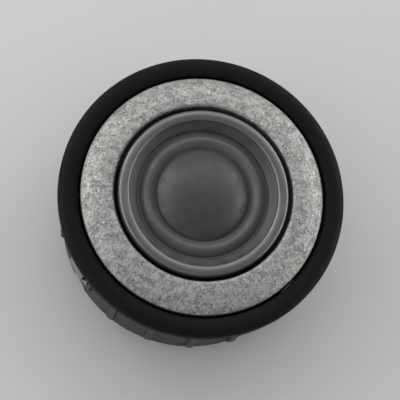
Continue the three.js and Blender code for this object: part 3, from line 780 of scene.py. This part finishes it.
def leaf_clip(angle):
    """A pressed strip: flat foot, flared leaf with a stiffening bead, and a grip that turns back in."""
    corners = [(36.75, -19.0, 0), (36.75, -11.3, 1.2), (39.5, -5.2, 0.9), (38.45, -1.6, 0)]
    path = held([Vector(p) for p in rounded(corners, closed=False)], closed=False, reach=0.4, longest=0.45)
    length = [0.0]
    for a, b in zip(path, path[1:]):
        length.append(length[-1] + (b - a).length)
    total = length[-1]
    across = 30
    half_width, half_thick, corner = 3.5, 0.25, 1.6
    bead_rise, bead_reach, bead_start, bead_end = 0.38, 1.1, 0.44, 0.72
    bm = bmesh.new()
    sheets = {1: [], -1: []}
    for i, here in enumerate(path):
        ahead = heading(path, i)
        out = Vector((-ahead.y, ahead.x))
        if out.x < 0:
            out = -out
        s = length[i]
        half = half_width
        for end in (s, total - s):
            if end < corner:
                round_off = math.sqrt(max(0.0, corner**2 - (corner - end) ** 2))
                half = min(half, half_width - corner + round_off)
        if s > total * 0.55:
            half -= 0.5 * (s / total - 0.55) / 0.45
        for side in (1, -1):
            row = []
            for k in range(across + 1):
                t = 2 * k / across - 1
                bead = bead_rise * math.exp(-((t * half / bead_reach) ** 2))
                bead /= 1 + math.exp(-(s - total * bead_start) * 2.2)
                bead /= 1 + math.exp((s - total * bead_end) * 2.2)
                rim = 0.07 if k in (0, across) else 0.0
                reach = here + out * (side * (half_thick - rim) + bead)
                row.append(bm.verts.new((reach.x, t * half, reach.y)))
            sheets[side].append(row)
    for side, rows in sheets.items():
        for a, b in zip(rows, rows[1:]):
            for k in range(across):
                bm.faces.new((a[k], a[k + 1], b[k + 1], b[k]))
    top, bottom = sheets[1], sheets[-1]
    for k in (0, across):
        for i in range(len(path) - 1):
            bm.faces.new((top[i][k], top[i + 1][k], bottom[i + 1][k], bottom[i][k]))
    for i in (0, len(path) - 1):
        for k in range(across):
            bm.faces.new((top[i][k], top[i][k + 1], bottom[i][k + 1], bottom[i][k]))
    bmesh.ops.recalc_face_normals(bm, faces=bm.faces)
    slits = [moved(brick(4, 0.5, 3.8, (38.0, side * 1.9, -8.3), 0), spin(angle)) for side in (-1, 1)]
    return cut(moved(bm, spin(angle)), [rivet_tool(angle), *slits])


def rivet(angle):
    """A domed rivet whose far end is upset inside the cup."""
    peg = turned([
        (0, 0, 0), (0.7, 0, 0.2), (0.9, 0.5, 0.1), (0.9, 2.2, 0.05), (1.9, 2.2, 0.12), (1.85, 2.45, 0.2),
        (1.2, 2.8, 0.6), (0, 2.82, 0),
    ], SMALL)
    return moved(peg, spin(angle) @ shift(35.1, 0, RIVET_Z) @ OUTWARD)


for i, angle in enumerate(CLIP_ANGLES, 1):
    install(f"clip_{i}", leaf_clip(angle), "mount", f"panel_clip_{i}", SPRING)
    install(f"rivet_{i}", rivet(angle), "mount", f"clip_rivet_{i}", ALUMINIUM)


# ---------- swivel ----------


def side_tool(radius, start, end):
    """A plain cylinder along x at the tilt centre's height."""
    peg = turned([(0, 0, 0), (radius, 0, 0), (radius, end - start, 0), (0, end - start, 0)], BORE)
    return moved(peg, shift(start, 0, 0) @ OUTWARD)


swivel = turned([(36.0, -5.0, 0.25), (36.0, 1.2, 0.15), (35.2, 1.2, 0.15), (35.2, 2.9, 0.2),
                 *sphere_line(34.6, 2.9, -5.0, 14)])
tab = sector(34.9, 35.95, 0.4, 2.85, math.pi / 2, math.radians(4.6))
swivel = fused(swivel, [tab])
swivel = cut(swivel, [side_tool(1.5, 33, 38), side_tool(1.5, -38, -33)])
install("swivel_race", swivel, "swivel", "swivel_ring", NYLON)

for side, name in ((-1, "left"), (1, "right")):
    pin = turned([(0, 0, 0), (1.2, 0, 0.3), (1.2, 4.1, 0.3), (0, 4.1, 0)], SMALL)
    pin = moved(pin, shift(31.6 if side > 0 else -35.7, 0, 0) @ OUTWARD)
    install(f"pivot_{name}", pin, "swivel", f"tilt_pin_{name}", PIN_STEEL)


# ---------- head ----------

slope = [(33.72, 5.2, 0.2), (33.2, 5.68, 1.2), (30.8, 7.1, 5.0), (28.6, 8.05, 4.0), (25.6, 8.34, 0.5)]
ring = turned([
    (33.8, 4.3, 0.1), (33.8, 5.0, 0.2), *slope, (25.0, 7.8, 0.3), (25.0, 4.7, 0.15), (25.6, 4.7, 0.1),
    (25.6, 6.3, 0.3), (30.4, 5.7, 0.3), (30.8, 4.3, 0.1),
], SHOW)
for v in ring.verts:
    r = math.hypot(v.co.x, v.co.y)
    if v.co.z > 5.2 and v.normal.z > 0.3 and r > 25.1:
        lump = noise.noise(v.co * 0.95) * 0.03 + noise.noise(v.co * 2.1) * 0.02
        v.co += v.normal * lump
install("silver_ring", ring, "head", "face_ring", SILVER)

PLATE_SCREW_R, COVER_SCREW_R = 28.2, 23.8


def drill(radius, low, high, x, y):
    """An upright cylinder, as a hole's tool or as a post."""
    peg = turned([(0, low, 0), (radius, low, 0), (radius, high, 0), (0, high, 0)], BORE)
    return moved(peg, shift(x, y, 0))


def lead_notch(low, high):
    """The tool that makes room for the solder lugs and the inner wires."""
    return brick(9, 5.5, high - low, (0, 22.2, (low + high) / 2), 0)


rim = arc_line((22.15, 8.0), (1.5, 0.9), 0, 180, 18)
plate = turned([
    (31.0, 2.4, 0.15), (31.0, 4.0, 0.15), (24.4, 4.0, 0.2), (23.85, 4.3, 0.1), (23.85, 7.6, 0.15),
    (23.65, 7.75, 0.1), *rim, (20.3, 7.7, 0.2), (18.75, 6.62, 0.15), (18.4, 6.3, 0.1), (18.4, 6.0, 0.08),
    (20.3, 6.0, 0.1), (20.3, 3.4, 0.1), (21.1, 3.4, 0.1), (21.1, 2.4, 0.1),
])
holes = [drill(1.2, 0, 6, *plan(PLATE_SCREW_R, a)) for a in THIRDS]
plate = cut(plate, holes + [lead_notch(0, 4.8)])
install("baffle", plate, "head", "faceplate", FACEPLATE)

ball = turned([
    *sphere_line(34.2, -17, 3.8, 30), (33.95, 4.0, 0), (31.6, 4.0, 0.15), (31.6, 2.1, 0.15),
    (21.2, 2.1, 0.15), (21.2, 0.3, 0.15), *sphere_line(32.6, 0.3, -17, 20),
])
posts = [drill(2.2, -16.8, 0.8, *plan(COVER_SCREW_R, a)) for a in THIRDS]
posts += [drill(2.5, -5, 0.8, *plan(PLATE_SCREW_R, a)) for a in THIRDS]
posts += [side_tool(1.95, 30.6, 33), side_tool(1.95, -33, -30.6)]
ball = fused(ball, posts)
bores = [drill(1.2, -18, -9, *plan(COVER_SCREW_R, a)) for a in THIRDS]
bores += [drill(1.2, -4, 3, *plan(PLATE_SCREW_R, a)) for a in THIRDS]
bores += [side_tool(1.5, 31.2, 40), side_tool(1.5, -40, -31.2), lead_notch(-1, 3)]
ball = cut(ball, bores)
install("ball", ball, "head", "ball_housing", NYLON)

diaphragm_frame = turned([(16.9, 3.4, 0.15), (19.9, 3.4, 0.15), (19.9, 4.4, 0.2), (16.9, 4.4, 0.2)], CORE)
install("cloth_frame", diaphragm_frame, "head", "diaphragm_frame", HIDDEN_PLASTIC)

top_plate = turned([(13.6, 0.1, 0.25), (20.6, 0.1, 0.3), (20.6, 3.1, 0.35), (13.6, 3.1, 0.25)], CORE)
install("front_pole_plate", top_plate, "head", "top_plate", ZINC)

magnet = turned([(15.2, -5.7, 0.3), (20.2, -5.7, 0.35), (20.2, -0.2, 0.35), (15.2, -0.2, 0.3)], CORE)
install("ring_magnet", magnet, "head", "magnet", NICKEL)

yoke = turned([
    (3.5, -9.0, 0.3), (19.9, -9.0, 0.5), (20.6, -8.3, 0.3), (20.6, -6.0, 0.3), (11.9, -6.0, 0.4),
    (11.9, 3.1, 0.4), (3.5, 3.1, 0.5),
], CORE)
install("pole_yoke", yoke, "head", "yoke", ZINC)


def lumpy(bm, size, height):
    """Pushes a soft pad's points in and out along their normals."""
    bm.normal_update()
    for v in bm.verts:
        v.co += v.normal * noise.noise(v.co / size) * height
    return bm


damper = turned([(3.5, 3.4, 0.2), (10.6, 3.4, 0.25), (10.6, 5.0, 0.55), (3.5, 5.0, 0.45)], CORE)
pad = install("pole_felt", lumpy(damper, 1.6, 0.09), "head", "dome_damper", FELT)

chamber = turned([
    (0, -15.6, 0), (14.2, -15.6, 0.6), (15, -14.8, 0.4), (15, -9.3, 0.2), (13.8, -9.3, 0.2),
    (13.8, -14.4, 0.4), (0, -14.4, 0),
], CORE)
install("back_chamber", chamber, "head", "rear_chamber", HIDDEN_PLASTIC)

wad = turned([(0, -14.1, 0), (13.5, -14.1, 0.3), (13.5, -11.8, 0.8), (0, -11.8, 0)], CORE)
pad = install("chamber_wad", lumpy(wad, 2.4, 0.13), "head", "chamber_felt", FELT)

COVER_Z = -20.6
GROOVES = 24
back = sphere_line(34.0, -17.3, -19.7, 6)
cover = turned([
    (0, COVER_Z, 0), (12.6, COVER_Z, 0.15), (12.9, COVER_Z + 0.45, 0.12), (14.1, COVER_Z + 0.45, 0.12),
    (14.4, COVER_Z, 0.15), (26.5, COVER_Z, 0.6), *reversed(back), (27.7, -17.3, 0.15), (25.6, -19.0, 0.4),
    (0, -19.0, 0),
])
pads = [drill(2.2, -19.5, -17.3, *plan(COVER_SCREW_R, a)) for a in THIRDS]
cover = fused(cover, pads)
cuts = [drill(1.2, -24, -16, *plan(COVER_SCREW_R, a)) for a in THIRDS]
cuts.append(brick(15.6, 7.6, 6, (0, 0, COVER_Z), 0))
for k in range(GROOVES):
    angle = math.tau * k / GROOVES
    if min(abs(math.remainder(angle - a, math.tau)) for a in THIRDS) > 0.2:
        groove = brick(7.0, 0.9, 0.9, (19.6, 0, COVER_Z), 0.2, 2)
        cuts.append(moved(groove, spin(angle)))
cover = cut(cover, cuts)
plus = [brick(*size, 0.5, (7.9, 6.4, COVER_Z), 0.12, 2) for size in ((2.4, 0.55), (0.55, 2.4))]
minus = brick(2.4, 0.55, 0.5, (-7.9, 6.4, COVER_Z), 0.12, 2)
cover = fused(cover, [*plus, minus])
install("back_cover", cover, "head", "rear_cover", HIDDEN_PLASTIC)

flange = brick(18, 10, 1.5, (0, 0, -21.65), 0.4)
terminal_base = fused(brick(15, 7, 3.4, (0, 0, -20.7), 0.25), [flange])
slots = [brick(5.4, 1.4, 12, (x, 0, -20.6), 0) for x in (-4, 4)]
terminal_base = cut(terminal_base, slots)
install("terminal_base", terminal_base, "head", "terminal_block", HIDDEN_PLASTIC)


def thread(radius, low, high, pitch, root):
    """A screw shank with a helical thread, tapered at its tip."""
    rows = int((high - low) / (pitch / 8))
    rings = []
    for i in range(rows + 1):
        z = low + (high - low) * i / rows
        taper = min(1.0, 0.35 + (z - low) / 1.2)
        ring = []
        for k in range(PEG):
            phase = (z / pitch + k / PEG) % 1.0
            height = max(0.0, 1 - abs(phase - 0.5) * 3.2)
            if z > high - 0.5:
                height = 0.0
            r = (root + (radius - root) * height) * taper
            angle = math.tau * k / PEG
            ring.append((r * math.cos(angle), r * math.sin(angle), z))
        rings.append(ring)
    return skinned(rings)


def cross_recess(depth):
    """The tool that cuts a tapered cross in a screw head whose top is at z = 0."""
    arms = []
    for angle in (0, math.pi / 2):
        arm = brick(2.3, 0.5, depth * 2, (0, 0, 0), 0)
        for v in arm.verts:
            if v.co.z < 0:
                v.co.x *= 0.55
                v.co.y *= 0.7
        arms.append(moved(arm, spin(angle)))
    return arms


def pan_screw(length, turn):
    """A pan-head screw that hangs down from its head's seat at z = 0."""
    head = turned([(0, 0, 0), (1.9, 0, 0.1), (1.9, 0.45, 0.3), (1.35, 0.95, 0.5), (0, 1.0, 0)], SMALL)
    tools = [moved(arm, shift(0, 0, 1.0) @ spin(turn)) for arm in cross_recess(0.62)]
    head = cut(head, tools)
    shank = thread(0.9, -length, 0.3, 0.55, 0.66)
    return fused(head, [shank])


for i, angle in enumerate(THIRDS, 1):
    front = moved(pan_screw(7.8, random.uniform(0, 1.5)), shift(*plan(PLATE_SCREW_R, angle), 4.3))
    install(f"plate_screw_{i}", front, "head", f"faceplate_screw_{i}", BLACK_SCREW)
    seat = shift(*plan(COVER_SCREW_R, angle), COVER_Z - 0.3)
    rear = moved(pan_screw(10.9, random.uniform(0, 1.5)), seat @ FLIP)
    install(f"cover_screw_{i}", rear, "head", f"rear_cover_screw_{i}", BLACK_SCREW)


def spade(x):
    """A spade terminal with chamfered corners and a locking hole."""
    tip, root = -27.2, -17.2
    outline = [(-1.5, tip), (1.5, tip), (2.4, tip + 1.1), (2.4, root), (-2.4, root), (-2.4, tip + 1.1)]
    blade = moved(slab(outline, -0.4, 0.4, 0.16), UPRIGHT)
    eye = moved(drill(0.7, -3, 3, 0, 0), shift(0, 0, tip + 2.2) @ UPRIGHT)
    blade = cut(blade, [eye])
    return moved(blade, shift(x, 0, 0))


def coil_lug(x):
    """A tinned lug with a solder bead over the wire's end."""
    lug = brick(2.2, 3.4, 0.4, (x, 22.1, 4.05), 0.1, 2)
    bead = turned([(0, 0, 0), (0.8, 0, 0.05), (0.6, 0.25, 0.2), (0, 0.35, 0)], PEG)
    return fused(lug, [moved(bead, shift(x, 21.4, 4.22))])


def smooth_path(points, steps=8):
    """A curve that passes through every point."""
    ends = [2 * points[0] - points[1], *points, 2 * points[-1] - points[-2]]
    line = []
    for i in range(1, len(ends) - 2):
        a, b, c, d = ends[i - 1:i + 3]
        for k in range(steps):
            t = k / steps
            straight = 2 * b + (c - a) * t
            bend = (2 * a - 5 * b + 4 * c - d) * t**2
            line.append(0.5 * (straight + bend + (3 * b - a - 3 * c + d) * t**3))
    return [*line, points[-1]]


def wire(side):
    """The insulated wire's smooth tube, through the same points as its CAD solid."""
    stations = [(2.4, 23.2, 3.4), (2.4, 23.3, -1), (2.5, 22.9, -8), (2.9, 20.8, -14), (3.6, 16.0, -17.2),
                (4, 10.0, -17.8), (4, 0.8, -17.9)]
    line = smooth_path([Vector((side * x, y, z)) for x, y, z in stations])
    rings = []
    across = Vector((1, 0, 0))
    for i, here in enumerate(line):
        ahead = heading(line, i)
        across = (across - ahead * across.dot(ahead)).normalized()
        other = ahead.cross(across)
        radius = 0.62 if i in (0, len(line) - 1) else 0.7
        angles = [math.tau * k / WIRE for k in range(WIRE)]
        rings.append([here + radius * (across * math.cos(a) + other * math.sin(a)) for a in angles])
    return skinned(rings)


LEADS = ((-1, "negative", "wire_black", WIRE_BLACK), (1, "positive", "wire_red", WIRE_RED))
for side, name, slot, cover_material in LEADS:
    install(f"spade_{name}", spade(side * 4), "head", f"terminal_{name}", BRASS)
    install(f"lug_{name}", coil_lug(side * 2.4), "head", f"coil_lug_{name}", SOLDER)
    install(f"wire_{name}", wire(side), "head", f"lead_{name}", cover_material)


# ---------- diaphragm ----------

DOME_R, DOME_RISE, DOME_BASE = 13.0, 5.2, 5.7
SKIN = 0.4
DOME_SPHERE_R = (DOME_R**2 + DOME_RISE**2) / (2 * DOME_RISE)
DOME_SPHERE_Z = DOME_BASE + DOME_RISE - DOME_SPHERE_R
DOME_HALF_ANGLE = math.asin(DOME_R / DOME_SPHERE_R)


def cap_line(radius, count=40):
    """The dome's section from its top to its edge."""
    angles = [DOME_HALF_ANGLE * k / count for k in range(count + 1)]
    return [Vector((radius * math.sin(a), DOME_SPHERE_Z + radius * math.cos(a))) for a in angles]


outer_skin = cap_line(DOME_SPHERE_R)
inner_skin = cap_line(DOME_SPHERE_R - SKIN)
lip = [Vector(point) for point in (
    (13.12, 5.56), (13.3, 5.53), (13.6, 5.62), (13.75, 5.6), (13.7, 5.42), (13.2, 5.38), (12.85, 5.34)
)]
dome = revolve(outer_skin + lip + list(reversed(inner_skin)), CORE, closed=False)
paint(dome, 1, lambda c: math.hypot(c.x, c.y) > 12.98)
install("soft_dome", dome, "diaphragm", "dome", DOME, [GLUE])

middle, half_roll, base, rise = 15.5, 2.2, 5.0, 1.7
ROLL_STEPS = 28


def roll_height(across):
    """The roll's section from 0 at its feet to 1 at its crown: half an arch, half a smooth wave."""
    arch = math.sqrt(max(0.0, 1 - across * across))
    wave = 0.5 + 0.5 * math.cos(math.pi * across)
    return 0.5 * (arch + wave)


upper = [Vector((13.3, 5.36))]
upper += [Vector((middle + half_roll * t, base + 0.38 + rise * roll_height(t)))
          for t in (-math.cos(math.pi * k / ROLL_STEPS) for k in range(ROLL_STEPS + 1))]
upper += [Vector((17.95, 5.36)), Vector((18.2, 5.35)), Vector((18.85, 5.35)), Vector((18.9, 5.3))]
lower = [Vector((18.9, 5.05)), Vector((18.85, 5.0)), Vector((18.2, 5.0)), Vector((17.75, 5.0))]
lower += [Vector((middle + (half_roll - 0.3) * t, base + (rise + 0.05) * roll_height(t)))
          for t in (math.cos(math.pi * k / ROLL_STEPS) for k in range(ROLL_STEPS + 1))]
roll = revolve(upper + lower, CORE)
install("roll_surround", roll, "diaphragm", "surround", SURROUND)

former = turned([(12.2, 0.2, 0.08), (12.5, 0.2, 0.08), (12.5, 5.2, 0.08), (12.2, 5.2, 0.08)], CORE)
former = cut(former, [brick(3, 0.25, 8, (-12.4, 0, 2.7), 0)])
install("coil_tube", former, "diaphragm", "coil_former", FORMER)

TURNS = 12
COIL_INNER_R, COIL_OUTER_R = 12.8, 13.15
COIL_LOW, COIL_HIGH = 0.6, 2.7
strand = (COIL_HIGH - COIL_LOW) / TURNS / 2
scallops = []
for k in range(TURNS):
    centre_z = COIL_LOW + strand * (2 * k + 1)
    for a in (-75, -40, 0, 40, 75):
        angle = math.radians(a)
        r = COIL_OUTER_R - strand + strand * math.cos(angle)
        scallops.append(Vector((r, centre_z + strand * math.sin(angle))))
winding = revolve([Vector((COIL_INNER_R, COIL_LOW)), *scallops, Vector((COIL_INNER_R, COIL_HIGH))], CORE)
install("winding", winding, "diaphragm", "coil_winding", COPPER)


# ---------- studio ----------


def backdrop():
    """A wide, plain, pale floor."""
    bm = bmesh.new()
    bmesh.ops.create_grid(bm, x_segments=1, y_segments=1, size=2.5)
    floor = as_object(bm, "floor")
    look = Look("floor_pale", grey(0.6), 0.7)
    look.set_colour(look.mix(look.noise(60.0, 2), rgba(grey(0.59)), rgba(grey(0.61))))
    floor.data.materials.append(look.material)


def softbox(name, place, size, power):
    """A rectangular light that faces the tweeter."""
    light = bpy.data.lights.new(name, "AREA")
    light.shape = "RECTANGLE"
    light.size, light.size_y = size
    light.energy = power
    made = bpy.data.objects.new(name, light)
    made.location = place
    made.rotation_mode = "QUATERNION"
    made.rotation_quaternion = (Vector(place) - Vector((0, 0, 0.03))).to_track_quat("Z", "Y")
    bpy.context.scene.collection.objects.link(made)


def studio_air():
    """Soft light from all round, brighter overhead, so that curved gloss shows its form."""
    world = bpy.data.worlds.new("studio")
    world.use_nodes = True
    tree = world.node_tree
    background = tree.nodes["Background"]
    background.inputs["Strength"].default_value = 0.42
    place = tree.nodes.new("ShaderNodeTexCoord")
    split = tree.nodes.new("ShaderNodeSeparateXYZ")
    height = tree.nodes.new("ShaderNodeMapRange")
    height.interpolation_type = "SMOOTHSTEP"
    height.inputs["From Min"].default_value = 0.0
    height.inputs["From Max"].default_value = 0.75
    shade = tree.nodes.new("ShaderNodeMix")
    shade.data_type = "RGBA"
    shade.inputs[6].default_value = (0.42, 0.43, 0.45, 1)
    shade.inputs[7].default_value = (0.97, 0.98, 1.0, 1)
    tree.links.new(place.outputs["Generated"], split.inputs[0])
    tree.links.new(split.outputs[2], height.inputs[0])
    tree.links.new(height.outputs[0], shade.inputs[0])
    tree.links.new(shade.outputs[2], background.inputs["Color"])
    bpy.context.scene.world = world


backdrop()
softbox("key", (0.0, 1.15, 0.95), (2.8, 1.4), 15.0)
softbox("left", (-0.6, 0.12, 0.28), (1.1, 0.16), 3.0)
softbox("right", (0.65, 0.12, 0.16), (1.1, 0.16), 3.2)
softbox("front", (-0.3, -0.85, 0.35), (0.8, 0.3), 0.6)
studio_air()
bpy.context.scene.view_settings.view_transform = "Standard"

# The photograph looks at the tweeter from below and a little from its left, with the panel's up along +Y.
ELEVATION = math.radians(73.5)
AZIMUTH = math.radians(-27)
DISTANCE = 0.62
camera = bpy.data.cameras.new("camera")
camera.lens = 200
camera.clip_start = 0.01
eye = bpy.data.objects.new("camera", camera)
aim = Vector((0, 0, 0.028))
back = Vector((
    math.sin(AZIMUTH) * math.cos(ELEVATION), -math.cos(AZIMUTH) * math.cos(ELEVATION), math.sin(ELEVATION)
))
across = Vector((0, 1, 0)).cross(back).normalized()
eye.location = aim + back * DISTANCE
eye.rotation_mode = "QUATERNION"
eye.rotation_quaternion = Matrix((across, back.cross(across), back)).transposed().to_quaternion()
bpy.context.scene.collection.objects.link(eye)
bpy.context.scene.camera = eye
